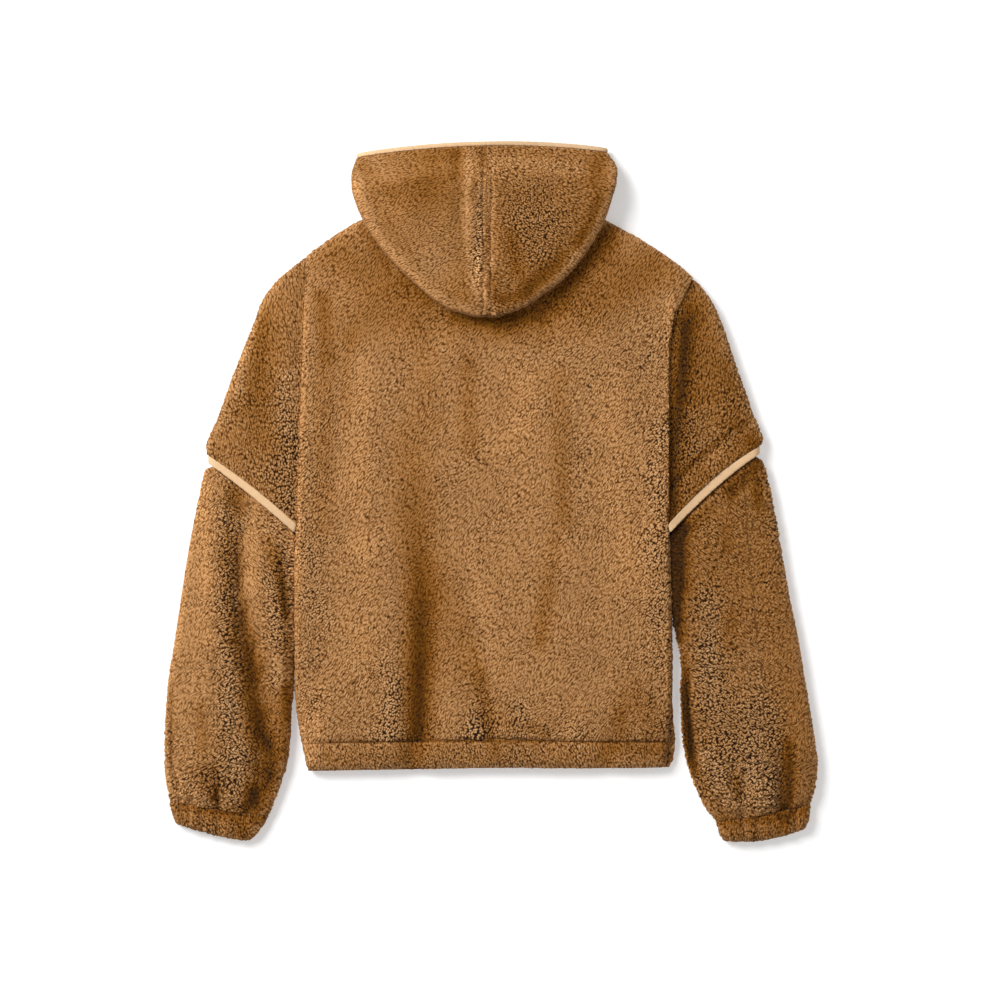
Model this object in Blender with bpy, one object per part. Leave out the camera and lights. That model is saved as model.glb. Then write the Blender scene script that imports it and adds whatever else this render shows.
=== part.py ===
"""A fleece hoodie laid face down: back and front, two-tier sleeves with bound edges, gathered cuffs, a hem
band and a two-piece hood that is folded down over the back. All sizes below are in millimetres. +Y runs from
the hem to the hood, +X to the right as seen from above, and Z = 0 is the surface that the garment lies on."""

from collections import namedtuple
from math import exp, hypot, pi, sin

import bmesh
import bpy

MM = 0.001

# Cloth
pile_wall = 8.0          # one layer of high-pile fleece, pile included
leaf_gap = 3.0           # air between the two layers of a flattened tube
seam_gap = 0.3           # between two pieces at a seam
edge_roll = 6.0          # how far in from a folded edge the cloth reaches its full height
side_wall = 7.0          # width of the side seam's meeting faces
layer_height = 2 * pile_wall + leaf_gap

# Body
back_inside = pile_wall + leaf_gap
back_flat = 21.0         # height of the yoke, where the hood lies on it
side_seam_z = 9.5
armpit_y = -43.0
side_start_y = -60.0     # from here down the front and back meet in a side seam
side_margin = 18.0       # from the side edges to the first and last column of points
yoke_y = 95.0            # above this the back is level under the hood
yoke_fade = 60.0
below_yoke_rise = 1.5
armhole_dip = 1.5        # how much the sleeve sinks towards the armhole

# Hood
centre_seam_x = -4.0
shoulder_drop_y = 352.0  # past the shoulders the hood starts to sink to the table
table_y = 392.0          # and here it lies on it
rim_sag = 7.0
rim_sag_y = 366.0
hood_binding_width = 6.0
hood_layer_step = 1.2    # how far the binding's lower layer keeps back from the rim's
sleeve_binding_width = 9.6
sleeve_binding_wall = 5.0
sleeve_binding_spread = 2.0

FLEECE = (0.352, 0.178, 0.062)
BINDING = (0.597, 0.402, 0.216)

Row = namedtuple("Row", "left_y right_y rise lift inset")
UpperRow = namedtuple("UpperRow", "seam_y out_x out_y wall gap puff bow")
TubeRow = namedtuple("TubeRow", "out_x out_y in_x in_y under wall gap puff bow")
HoodRow = namedtuple("HoodRow", "top_y out_x out_y under_y full puff")
Crease = namedtuple("Crease", "x0 y0 rise0 x1 y1 rise1 width")

# Edges of the body as (y, x), from the shoulder point down to the hem
left_edge = ((273, -212), (armpit_y, -223), (-60, -225.5), (-120, -226.5), (-186, -226), (-220, -225.5),
             (-253, -223), (-284, -217.5), (-319, -210))
right_edge_back = ((248, 233), (204, 211), (170, 205), (armpit_y, 204), (-60, 207), (-120, 208.5),
                   (-238, 208.5), (-267, 206), (-289, 205), (-318, 201))
right_edge_front = ((248, 233), (204, 211), (170, 205), (armpit_y, 204), (-60, 207), (-120, 208.5),
                    (-238, 209), (-267, 210), (-289, 212), (-309, 211), (-318, 207))

# Shoulders and necklines as (x, y)
back_top_edge = ((-212, 273), (-172, 302), (-148, 315), (-106, 331), (-81, 321), (-4, 312), (71, 321),
                 (99, 331), (133, 314), (175, 291), (210, 268), (233, 248))
front_top_edge = ((-212, 273), (-172, 302), (-148, 315), (-106, 331), (-78, 296), (-45, 272), (-4, 264),
                  (38, 272), (71, 296), (99, 331), (133, 314), (175, 291), (210, 268), (233, 248))
hem_seam = ((-216, -289), (-95, -285), (20, -282), (84, -285), (212, -287))
hem_fold = ((-210, -320), (-95, -318), (20, -316), (110, -317), (201, -316))

back_rows = (
    Row(-289, -287, 0, 0.72, 0), Row(-283, -281, 0, 0.96, 0), Row(-266, -266, 0, 1, 0),
    Row(-250, -250, 0, 1, 0), Row(-234, -234, 0, 1, 0), Row(-216, -216, 0, 1, 0), Row(-198, -198, 0, 1, 0),
    Row(-178, -178, 0, 1, 0), Row(-156, -156, 0, 1, 0), Row(-132, -132, 0, 1, 0), Row(-108, -108, 0, 1, 0),
    Row(-84, -84, 0, 1, 0), Row(-60, -60, 0, 1, 0), Row(armpit_y, armpit_y, 0, 1, 0), Row(-20, -20, 0, 1, 0),
    Row(8, 8, 0, 1, 0), Row(38, 38, 0, 1, 0), Row(70, 70, 0, 1, 0), Row(104, 104, 0, 1, 0),
    Row(138, 138, 0, 1, 0), Row(170, 170, 0, 1, 0), Row(210, 204, 0.42, 1, 1), Row(241, 226, 0.72, 1, 3),
    Row(262, 240, 0.9, 1, 5.5), Row(270, 246, 0.98, 0.72, 6.8), Row(273, 248, 1, 0, 7.5),
)
front_rows = (
    Row(-289, -287, 0, 1, 0), Row(-240, -240, 0, 1, 0), Row(-180, -180, 0, 1, 0), Row(-120, -120, 0, 1, 0),
    Row(-60, -60, 0, 1, 0), Row(armpit_y, armpit_y, 0, 1, 0), Row(20, 20, 0, 1, 0), Row(100, 100, 0, 1, 0),
    Row(170, 170, 0, 1, 0), Row(210, 204, 0.42, 1, 1), Row(241, 226, 0.72, 1, 3), Row(262, 240, 0.9, 1, 5.5),
    Row(270, 246, 0.98, 0.7, 6.8), Row(273, 248, 1, 0, 7.5),
)
# The hem band's rows: share of the way from its seam to its folded edge, height share, inset of the inside
hem_rows = ((0.0, 0.72, 0.0), (0.16, 0.97, 0.0), (0.5, 1.06, 0.0), (0.84, 0.95, 1.0), (1.0, 0.42, 3.0))

# Upper sleeves, from the shoulder to the bound edge
upper_left_rows = (
    UpperRow(270, -217, 267, 6.0, 2.0, 0, 0), UpperRow(262, -231, 256, 7.5, 2.5, 0, 0),
    UpperRow(250, -246, 244, 8.0, 3.0, 0, 0), UpperRow(228, -263, 221, 8.0, 3.0, 1, 0),
    UpperRow(200, -275, 187, 8.0, 3.0, 2, 0), UpperRow(168, -289, 153, 8.0, 3.0, 3, 0),
    UpperRow(132, -302, 118, 8.0, 3.0, 3, 0), UpperRow(94, -314, 84, 8.0, 3.0, 3, 0),
    UpperRow(60, -323, 66, 8.0, 3.2, 3, 1), UpperRow(28, -327, 57, 7.4, 4.6, 3, 2),
    UpperRow(-4, -327.5, 50, 6.4, 8.0, 2, 3), UpperRow(-36, -325, 44, 5.0, 12.8, 1, 4),
)
upper_right_rows = (
    UpperRow(245, 237, 243, 6.0, 2.0, 0, 0), UpperRow(229, 246, 232, 7.5, 2.5, 0, 0),
    UpperRow(204, 256, 218, 8.0, 3.0, 1, 0), UpperRow(170, 269, 187, 8.0, 3.0, 2, 0),
    UpperRow(138, 280, 153, 8.0, 3.0, 3, 0), UpperRow(108, 291, 121, 8.0, 3.0, 3, 1),
    UpperRow(80, 302, 90, 8.0, 3.0, 3, 2), UpperRow(54, 310, 71, 8.0, 3.2, 3, 4),
    UpperRow(24, 313.5, 63, 7.4, 4.6, 3, 6), UpperRow(-6, 313, 59, 6.4, 8.0, 2, 8),
    UpperRow(-36, 310, 55, 5.0, 12.8, 1, 9),
)

# Lower sleeves, from the end tucked into the bound edge to the cuff's gathering line
lower_left_rows = (
    TubeRow(-316, 34.5, -231, -32.5, 5.4, 5.0, 2.0, 0, 3),
    TubeRow(-318.5, 28.2, -230.5, -43.2, 5.3, 5.0, 2.0, 0, 1),
    TubeRow(-328.6, 28, -226.4, -53, 0, 7.6, 2.8, 2, 0), TubeRow(-335, -5, -226.8, -67, 0, 8.0, 3.0, 4, 0),
    TubeRow(-340, -27, -227.1, -84, 0, 8.0, 3.0, 5, 0), TubeRow(-346, -58, -227.3, -106, 0, 8.0, 3.0, 5, 0),
    TubeRow(-352, -95, -227.4, -133, 0, 8.0, 3.0, 5, 0), TubeRow(-358, -135, -227.4, -163, 0, 8.0, 3.0, 5, 0),
    TubeRow(-364, -175, -227.8, -194, 0, 8.0, 3.0, 5, 0),
    TubeRow(-370, -210, -228.8, -225, 0, 8.0, 3.0, 5, 0),
    TubeRow(-373, -243, -229.8, -255, 0, 8.0, 3.0, 6, 0),
    TubeRow(-374.6, -275, -231, -283, 0, 8.0, 3.0, 7, 0),
    TubeRow(-375, -304, -234, -310, 0, 8.0, 3.0, 7, 0), TubeRow(-373.5, -330, -242, -335, 0, 8.0, 3.0, 6, -2),
    TubeRow(-371, -343, -249, -354, 0, 8.0, 3.0, 4, -3),
    TubeRow(-369, -353.5, -256, -370.5, 0, 7.2, 2.6, 0, -3),
)
lower_right_rows = (
    TubeRow(301.5, 44.5, 212.5, -33, 5.4, 5.0, 2.0, 0, 8),
    TubeRow(305.2, 40.2, 211.5, -44.6, 5.3, 5.0, 2.0, 0, 6),
    TubeRow(313.3, 37.5, 208.2, -55, 0, 7.6, 2.8, 2, 5), TubeRow(320, 10, 208.9, -69, 0, 8.0, 3.0, 4, 4),
    TubeRow(325, -12, 209.4, -86, 0, 8.0, 3.0, 5, 3), TubeRow(330, -40, 209.8, -106, 0, 8.0, 3.0, 5, 2),
    TubeRow(336, -75, 210.4, -128, 0, 8.0, 3.0, 5, 1), TubeRow(344, -120, 212.8, -155, 0, 8.0, 3.0, 5, 0),
    TubeRow(353, -163, 217, -184, 0, 8.0, 3.0, 5, 0), TubeRow(360, -205, 218.5, -215, 0, 8.0, 3.0, 6, 0),
    TubeRow(366.5, -243, 220, -247, 0, 8.0, 3.0, 6, 0), TubeRow(372, -278, 221.5, -280, 0, 8.0, 3.0, 7, 0),
    TubeRow(376.5, -310, 226.5, -310, 0, 8.0, 3.0, 7, 0), TubeRow(375, -332, 236, -337, 0, 8.0, 3.0, 6, -2),
    TubeRow(371.5, -347, 247, -361, 0, 8.0, 3.0, 4, -3), TubeRow(368, -357, 260, -377.5, 0, 7.2, 2.6, 0, -3),
)

# Cuffs, from the gathering line to the folded end
cuff_left_rows = (
    TubeRow(-369, -354, -256.3, -371, 0, 6.6, 2.6, 0, -3),
    TubeRow(-368.5, -359, -258.5, -376, 0, 7.4, 3.0, 1, -3),
    TubeRow(-367, -367, -264, -385, 0, 7.6, 3.0, 2, -3),
    TubeRow(-364.5, -375, -271, -394, 0, 7.4, 3.0, 1, -3),
    TubeRow(-362, -380, -277, -400, 0, 5.8, 2.4, 0, -3),
)
cuff_right_rows = (
    TubeRow(368, -357.6, 260.2, -378.2, 0, 6.6, 2.6, 0, -3),
    TubeRow(368, -363, 261.5, -383, 0, 7.4, 3.0, 1, -3),
    TubeRow(367, -371, 263.5, -389, 0, 7.6, 3.0, 2, -4), TubeRow(365, -380, 266, -395.5, 0, 7.4, 3.0, 1, -5),
    TubeRow(362.5, -386, 269, -400, 0, 5.8, 2.4, 0, -6),
)

# Hood halves, from the rim to the crown's tip
hood_left_rows = (
    HoodRow(399, -154, 385, 306, 1, 1), HoodRow(389, -159.5, 367, 299, 1, 2),
    HoodRow(375, -158.5, 346, 291, 1, 3), HoodRow(357, -152, 326, 281, 1, 4),
    HoodRow(337, -143, 308, 270, 1, 5), HoodRow(315, -130, 288, 259, 1, 5),
    HoodRow(293, -113, 267, 248, 1, 5), HoodRow(271, -92, 246, 237, 1, 4),
    HoodRow(250, -70, 226, 227, 1, 3), HoodRow(231, -48, 211.5, 218, 0.98, 2),
    HoodRow(215, -26, 204.5, 210, 0.9, 1), HoodRow(204.5, -12, 202, 203.5, 0.62, 0),
)
hood_right_rows = (
    HoodRow(399, 135, 391, 306, 1, 1), HoodRow(389, 145.5, 373, 299, 1, 2),
    HoodRow(375, 143.5, 352, 291, 1, 3), HoodRow(357, 138, 329, 281, 1, 4),
    HoodRow(337, 130, 307, 270, 1, 5), HoodRow(315, 118, 286, 259, 1, 5),
    HoodRow(293, 102, 264, 248, 1, 5), HoodRow(271, 82, 243, 237, 1, 4),
    HoodRow(250, 60, 227, 227, 1, 3), HoodRow(231, 38, 213.5, 218, 0.98, 2),
    HoodRow(215, 17, 205.5, 210, 0.9, 1), HoodRow(204.5, 4, 202, 203.5, 0.62, 0),
)

# Main folds in the outer face: ridges rise above nought, troughs fall below it
body_creases = (
    Crease(-170, 80, 1.0, -170, -200, 2.5, 34), Crease(60, 70, 1.5, 70, -220, 2.5, 60),
    Crease(-104, -54, 0, -88, -313, -5.5, 12), Crease(-12, -222, 0, -12, -284, -2.5, 12),
    Crease(140, -250, 0, 132, -315, -3.5, 12), Crease(-92, 60, 0, -104, -120, -1.6, 22),
    Crease(-60, -170, 0, -62, -300, 2.0, 16), Crease(-124, -200, 0, -122, -300, 2.0, 14),
)
left_sleeve_creases = (
    Crease(-292, -58, -1, -291, -130, -4.5, 9), Crease(-291, -130, -4.5, -272, -180, -5, 9),
    Crease(-272, -180, -5, -264, -262, -1, 9), Crease(-326, -30, 1, -334, -200, 2.5, 10),
    Crease(-362, -235, -4, -362, -345, -5, 5), Crease(-318, -330, -2, -316, -368, -6, 5),
    Crease(-281, -345, -1, -282, -376, -4, 5), Crease(-347, -345, -1, -347, -360, -3, 5),
    Crease(-300, -300, 2, -300, -350, 2, 10), Crease(-334, -310, 2, -332, -350, 2, 9),
)
right_sleeve_creases = (
    Crease(338, -295, -1, 334, -362, -5, 6), Crease(291, -330, -1, 292, -376, -5, 6),
    Crease(278, -320, -1, 277, -350, -3, 5), Crease(232, -240, -3, 238, -325, -4, 6),
    Crease(270, -60, 0.5, 292, -260, 3, 16), Crease(312, -300, 2, 312, -355, 2, 9),
    Crease(356, -290, 2, 352, -350, 2, 8), Crease(250, -110, -1, 256, -240, -2.5, 9),
)
upper_left_creases = (Crease(-262, 40, 0.5, -250, 190, 1.5, 16),)
upper_right_creases = (Crease(293, 75, -1, 229, 26, -3, 7), Crease(229, 26, -3, 206, 8, -1, 7))
hood_creases = (
    Crease(-15, 396, 2.2, -15, 222, 1.6, 6), Crease(-28, 380, -2.2, -27, 250, -1.6, 6),
    Crease(8, 388, 1.0, 8, 230, 1.0, 6), Crease(-120, 350, 1.5, -100, 300, 1.0, 26),
    Crease(-146, 372, -2, -128, 352, -1, 6), Crease(122, 380, -1.5, 118, 340, -1, 8),
)

body_columns = 27
front_columns = 8
sleeve_under = (0.0, 0.25, 0.5, 0.75, 1.0)
upper_over = (0.0, 0.12, 0.25, 0.38, 0.52, 0.66, 0.8, 0.92, 1.0)
tube_over = (0.0, 0.09, 0.18, 0.28, 0.38, 0.48, 0.58, 0.68, 0.79, 0.9, 1.0)
hood_under = (0.0, 0.2, 0.4, 0.6, 0.8, 1.0)
hood_over = (0.0, 0.12, 0.26, 0.42, 0.56, 0.68, 0.77, 0.83, 0.88, 0.93, 0.965, 1.0)
cuff_pleats = 10
cuff_pleat_depth = 1.7


def mix(a, b, share):
    return a + (b - a) * share


def smooth(share):
    share = min(max(share, 0.0), 1.0)
    return share * share * (3 - 2 * share)


def read(table, key):
    """Straight-line reading of a table of (key, value) pairs, in either order of keys."""
    pairs = sorted(table)
    if key <= pairs[0][0]:
        return pairs[0][1]
    for (k0, v0), (k1, v1) in zip(pairs, pairs[1:]):
        if key <= k1:
            return mix(v0, v1, (key - k0) / (k1 - k0))
    return pairs[-1][1]


def folds(creases, x, y):
    total = 0.0
    for crease in creases:
        dx, dy = crease.x1 - crease.x0, crease.y1 - crease.y0
        share = ((x - crease.x0) * dx + (y - crease.y0) * dy) / (dx * dx + dy * dy)
        share = min(max(share, 0.0), 1.0)
        away = hypot(x - crease.x0 - share * dx, y - crease.y0 - share * dy)
        total += mix(crease.rise0, crease.rise1, share) * exp(-((away / crease.width) ** 2))
    return total


def wall(name, outer, inner, colour, closed):
    """One closed solid between two grids of points, each a list of sections. Where closed is true, each
    section is a ring."""
    mesh = bmesh.new()
    over, under = ([[mesh.verts.new([v * MM for v in point]) for point in section] for section in grid]
                   for grid in (outer, inner))
    rows, stations = len(outer), len(outer[0])
    last = stations if closed else stations - 1
    for r in range(rows - 1):
        for s in range(last):
            n = (s + 1) % stations
            mesh.faces.new((over[r][s], over[r][n], over[r + 1][n], over[r + 1][s]))
            mesh.faces.new((under[r + 1][s], under[r + 1][n], under[r][n], under[r][s]))
    for s in range(last):
        n = (s + 1) % stations
        mesh.faces.new((under[0][s], under[0][n], over[0][n], over[0][s]))
        mesh.faces.new((over[-1][s], over[-1][n], under[-1][n], under[-1][s]))
    if not closed:
        for r in range(rows - 1):
            mesh.faces.new((over[r][0], over[r + 1][0], under[r + 1][0], under[r][0]))
            mesh.faces.new((under[r][-1], under[r + 1][-1], over[r + 1][-1], over[r][-1]))
    bmesh.ops.triangulate(mesh, faces=mesh.faces, quad_method="SHORT_EDGE")
    bmesh.ops.recalc_face_normals(mesh, faces=mesh.faces)
    data = bpy.data.meshes.new(name)
    mesh.to_mesh(data)
    mesh.free()
    data.shade_smooth()
    data.set_sharp_from_angle(angle=0.9)
    data.materials.append(colour)
    made = bpy.data.objects.new(name, data)
    bpy.context.scene.collection.objects.link(made)
    return made


def back_height(x, y):
    """Top of the back panel. It is level under the hood, and full and creased below it."""
    below_yoke = 1 - smooth((y - yoke_y) / yoke_fade)
    return back_flat + below_yoke * (below_yoke_rise + folds(body_creases, x, y))


def panel_section(row_y, left, right, side_left, side_right, columns, lift, inset, back, seam_row):
    """One row of a body panel, as outer and inner points from its left edge to its right edge."""
    rest = side_seam_z + seam_gap / 2 if back else side_seam_z - seam_gap / 2
    inside = back_inside if back else pile_wall

    def height(x, y, share=1.0):
        full = back_height(x, y) if back else 0.0
        return rest + (full - rest) * lift * share

    def edge(x, sign, side):
        low = rest if seam_row else mix(inside, rest, side)
        steps = ((0.0, None), (1.2 * side, mix(0.8, 0.55, side)), (5.0, mix(0.96, 0.9, side)))
        for offset, share in steps:
            px = x + sign * offset
            py = row_y(px)
            yield px, py, low if share is None or seam_row else height(px, py, share)

    spread = [mix(left + side_margin, right - side_margin, k / (columns - 1)) for k in range(columns)]
    outer = list(edge(left, 1, side_left))
    outer += [(x, row_y(x), height(x, row_y(x))) for x in spread]
    outer += reversed(list(edge(right, -1, side_right)))
    inner_x = [left + o for o in (side_wall, side_wall + 2, side_wall + 5)] + spread
    inner_x += [right - o for o in (side_wall + 5, side_wall + 2, side_wall)]
    inner = []
    for k, x in enumerate(inner_x):
        at_left, at_right = k == 0, k == len(inner_x) - 1
        z = inside
        if seam_row:
            z = rest
        elif at_left or at_right:
            z = mix(inside, rest, side_left if at_left else side_right)
        inner.append((x, row_y(x) - inset, z))
    return outer, inner


def side_share(y):
    return smooth((armpit_y - y) / (armpit_y - side_start_y))


def body_panel(name, rows, top_edge, right_edge, columns, back, colour):
    outer, inner = [], []
    corner_left, corner_right = top_edge[0], top_edge[-1]
    for row in rows:
        left, right = read(left_edge, row.left_y), read(right_edge, row.right_y)

        def row_y(x, row=row, left=left, right=right):
            across = (x - left) / (right - left)
            straight = mix(row.left_y, row.right_y, across)
            if row is rows[0]:
                return read(hem_seam, x)
            top_x = mix(corner_left[0], corner_right[0], across)
            top_line = mix(corner_left[1], corner_right[1], across)
            return straight + row.rise * (read(top_edge, top_x) - top_line)

        section = panel_section(row_y, left, right, side_share(row.left_y), side_share(row.right_y), columns,
                                row.lift, row.inset, back, row is rows[-1])
        outer.append(section[0])
        inner.append(section[1])
    return wall(name, outer, inner, colour, closed=False)


def hem_band(name, right_edge, columns, back, colour):
    outer, inner = [], []
    for share, lift, inset in hem_rows:
        seam_y, fold_y = hem_seam[0][1] - seam_gap, hem_fold[0][1]
        left = read(left_edge, mix(seam_y, fold_y, share))
        right = read(right_edge, mix(seam_y, fold_y, share))

        def row_y(x, share=share):
            return mix(read(hem_seam, x) - seam_gap, read(hem_fold, x), share)

        lift = lift if back else min(lift * 1.4, 1)
        section = panel_section(row_y, left, right, 1, 1, columns, lift, -inset, back, False)
        outer.append(section[0])
        inner.append(section[1])
    return wall(name, outer, inner, colour, closed=False)


def leaf_section(fold, seam, seam_under, under, over, wide_under, wide_over, wall_now, gap, full, lift,
                 tube, bow):
    """A flattened section of two layers. fold is its folded end. seam is its open end, or a tube's second folded
    end. under(x, y) is what it lies on, over(x, y, share) what its top rises by."""
    def place(end, share):
        x, y = mix(fold[0], end[0], share), mix(fold[1], end[1], share)
        return x, y + bow * 4 * share * (1 - share)

    width = hypot(seam[0] - fold[0], seam[1] - fold[1])
    roll = min(edge_roll / width, 0.3)
    thick = min(wall_now / width, 0.32)
    height = (2 * wall_now + gap) * full
    skin = wall_now * full
    far = 1 - roll if tube else 1.0
    far_in = 1 - thick if tube else 1.0
    outer, inner = [], []

    def put(grid, end, share, z_share, raised=0.0):
        x, y = place(end, share)
        grid.append((x, y, under(x, y) + z_share + raised))

    for t in reversed(wide_under):
        put(outer, seam_under, mix(roll, far, t), 0.0)
        put(inner, seam_under, mix(thick, far_in, t), skin)
    for z_share, step in ((0.2, 0.16), (0.5, 0.0), (0.8, 0.16)):
        towards = (mix(seam_under[0], seam[0], z_share), mix(seam_under[1], seam[1], z_share))
        put(outer, towards, roll * step, height * z_share)
        put(inner, towards, thick * 0.9, mix(skin, height - skin, z_share))
    for t in wide_over:
        share = mix(roll, far, t)
        x, y = place(seam, share)
        put(outer, seam, share, height * (0.96 if t == 0 or (tube and t == 1) else 1.0),
            over(x, y, share) * lift)
        share_in = mix(thick, far_in, t)
        put(inner, seam, share_in, height - skin)
    if tube:
        for z_share, step in ((0.8, 0.16), (0.5, 0.0), (0.2, 0.16)):
            put(outer, seam, 1 - roll * step, height * z_share)
            put(inner, seam, 1 - thick * 0.9, mix(skin, height - skin, z_share))
    return outer, inner


def upper_sleeve(name, rows, armhole, sign, creases, colour, binding_colour):
    """The upper tier, open towards the body, and the binding that finishes its lower edge."""
    outer, inner = [], []

    def add(row, seam_shift, shrink, grids):
        seam = (read(armhole, row.seam_y) + sign * (seam_gap + seam_shift), row.seam_y)

        def over(x, y, share):
            dip = armhole_dip * smooth(share * 4 - 3)
            return row.puff * sin(pi * mix(0.1, 0.8, share)) + folds(creases, x, y) - dip

        section = leaf_section((row.out_x, row.out_y), seam, seam, lambda x, y: 0.0, over, sleeve_under,
                               upper_over, row.wall, row.gap, 1.0, shrink, False, row.bow)
        grids[0].append(section[0])
        grids[1].append(section[1])

    for row in rows:
        add(row, 0.0, 1.0 if row.puff else 0.0, (outer, inner))
    wall(name, outer, inner, colour, closed=False)

    end = rows[-1]
    outer, inner = [], []
    for share, thick in ((0.0, 0.84), (0.35, 1.0), (0.75, 1.0), (1.0, 0.84)):
        drop = mix(seam_gap + 0.1, sleeve_binding_width, share)
        wall_now = sleeve_binding_wall * thick
        row = end._replace(seam_y=end.seam_y - drop, out_y=end.out_y - drop, wall=wall_now,
                           gap=end.gap + 2 * (sleeve_binding_wall - wall_now), puff=0,
                           bow=mix(end.bow, end.bow * 0.6, share))
        add(row, sleeve_binding_spread * share, 0.0, (outer, inner))
    wall(name.replace("upper_sleeve", "sleeve_binding"), outer, inner, binding_colour, closed=False)


def lower_sleeve(name, rows, creases, colour, over_stations, pleats=0):
    outer, inner = [], []
    for row in rows:
        def over(x, y, share, row=row):
            raised = row.puff * sin(pi * share) ** 0.6 + folds(creases, x, y)
            if pleats:
                raised += cuff_pleat_depth * sin(2 * pi * pleats * share)
            return raised

        tucked = row.under > 0
        fold, seam = (row.out_x, row.out_y), (row.in_x, row.in_y)
        section = leaf_section(fold, seam, seam, lambda x, y, row=row: row.under, over, sleeve_under,
                               over_stations, row.wall, row.gap, 1.0, 0.0 if tucked else 1.0, True, row.bow)
        outer.append(section[0])
        inner.append(section[1])
    return wall(name, outer, inner, colour, closed=True)


def hood_rest(y):
    """What the hood lies on: the back as far as the shoulders, then down to the table."""
    return (back_flat + seam_gap) * (1 - smooth((y - shoulder_drop_y) / (table_y - shoulder_drop_y)))


def rim_drop(y, share):
    """How far the rim's middle sinks where no layer lies under it."""
    return rim_sag * smooth((y - rim_sag_y) / (hood_left_rows[0].top_y - rim_sag_y)) * smooth(share / 0.6)


def hood_section(row, sign, shift_y=0.0, full=1.0):
    centre = centre_seam_x + sign * seam_gap / 2
    lift_tip = (1 - row.full) * layer_height * 0.35 + (1 - full) * layer_height * 0.5
    corner = smooth((row.out_y - 340) / 45)
    slack = hood_layer_step if shift_y else 0.0

    def under(x, y):
        return hood_rest(y) + lift_tip

    def over(x, y, share):
        return row.puff * sin(pi * mix(0.05, 0.85, share)) + folds(hood_creases, x, y) - rim_drop(y, share)

    outer, inner = leaf_section((row.out_x, row.out_y + shift_y), (centre, row.top_y + shift_y),
                                (centre, row.under_y + shift_y + slack), under, over, hood_under, hood_over,
                                pile_wall, leaf_gap, row.full * full, 1.0, False, 3.0 * corner)
    top_from = len(hood_under) + 3
    for k in range(top_from, len(inner)):
        x, y, z = inner[k]
        inner[k] = (x, y, z - rim_drop(y, (x - row.out_x) / (centre - row.out_x)))
    return outer, inner


def hood_half(name, rows, sign, colour):
    sections = [hood_section(row, sign) for row in rows]
    return wall(name, [s[0] for s in sections], [s[1] for s in sections], colour, closed=False)


def hood_binding(colour):
    """The strip bound round the face opening: along the rim, and down both sides below it to the neck."""
    outer, inner = [], []
    for shift, full in ((3 * seam_gap, 0.86), (hood_binding_width * 0.5, 0.9), (hood_binding_width, 0.82)):
        left = hood_section(hood_left_rows[0], -1, shift, full)
        right = hood_section(hood_right_rows[0], 1, shift, full)
        outer.append(left[0] + right[0][::-1])
        inner.append(left[1] + right[1][::-1])
    return wall("hood_binding", outer, inner, colour, closed=False)


def material(name, colour, roughness):
    made = bpy.data.materials.new(name)
    made.use_nodes = True
    shader = made.node_tree.nodes["Principled BSDF"]
    shader.inputs["Base Color"].default_value = (*colour, 1)
    shader.inputs["Roughness"].default_value = roughness
    shader.inputs["Metallic"].default_value = 0.0
    made.diffuse_color = (*colour, 1)
    return made


def main():
    for old in list(bpy.data.objects):
        bpy.data.objects.remove(old, do_unlink=True)

    def fleece(name):
        return material(name + "_fleece", FLEECE, 0.95)

    def knit(name):
        return material(name + "_knit", BINDING, 0.8)

    body_panel("back_panel", back_rows, back_top_edge, right_edge_back, body_columns, True, fleece("back"))
    body_panel("front_panel", front_rows, front_top_edge, right_edge_front, front_columns, False,
               fleece("front"))
    hem_band("hem_band_back", right_edge_back, body_columns, True, fleece("hem_back"))
    hem_band("hem_band_front", right_edge_front, front_columns, False, fleece("hem_front"))
    pleated = tuple(k / (2 * cuff_pleats) for k in range(2 * cuff_pleats + 1))
    sides = (
        ("left", -1, left_edge, upper_left_rows, lower_left_rows, cuff_left_rows, upper_left_creases,
         left_sleeve_creases),
        ("right", 1, right_edge_back, upper_right_rows, lower_right_rows, cuff_right_rows,
         upper_right_creases, right_sleeve_creases),
    )
    for side, sign, armhole, upper, lower, cuff, upper_folds, lower_folds in sides:
        upper_sleeve("upper_sleeve_" + side, upper, armhole, sign, upper_folds, fleece("upper_" + side),
                     knit("sleeve_binding_" + side))
        lower_sleeve("lower_sleeve_" + side, lower, lower_folds, fleece("lower_" + side), tube_over)
        lower_sleeve("cuff_" + side, cuff, (), fleece("cuff_" + side), pleated, cuff_pleats * 0.5)
    hood_half("hood_left", hood_left_rows, -1, fleece("hood_left"))
    hood_half("hood_right", hood_right_rows, 1, fleece("hood_right"))
    hood_binding(knit("hood_binding"))


main()
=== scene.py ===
import math

import bmesh
import bpy
import numpy as np
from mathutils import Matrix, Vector, noise
from mathutils.bvhtree import BVHTree


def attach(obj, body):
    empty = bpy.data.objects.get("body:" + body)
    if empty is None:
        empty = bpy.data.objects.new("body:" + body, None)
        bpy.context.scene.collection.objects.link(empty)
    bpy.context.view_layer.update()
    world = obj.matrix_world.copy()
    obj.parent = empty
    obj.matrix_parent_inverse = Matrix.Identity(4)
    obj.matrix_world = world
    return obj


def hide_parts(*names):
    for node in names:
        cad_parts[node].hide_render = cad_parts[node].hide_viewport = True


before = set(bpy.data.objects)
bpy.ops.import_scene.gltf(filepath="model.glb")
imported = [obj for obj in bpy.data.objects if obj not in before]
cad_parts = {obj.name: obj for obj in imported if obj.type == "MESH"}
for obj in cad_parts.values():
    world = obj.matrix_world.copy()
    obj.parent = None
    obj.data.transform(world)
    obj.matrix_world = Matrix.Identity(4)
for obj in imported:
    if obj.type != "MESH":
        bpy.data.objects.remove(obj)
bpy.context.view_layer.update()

mm = 0.001
top, under, hidden = 1, 2, 0      # how much of a face is seen
noise.seed_set(5)                 # the nap wanders the same way in every run

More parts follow.
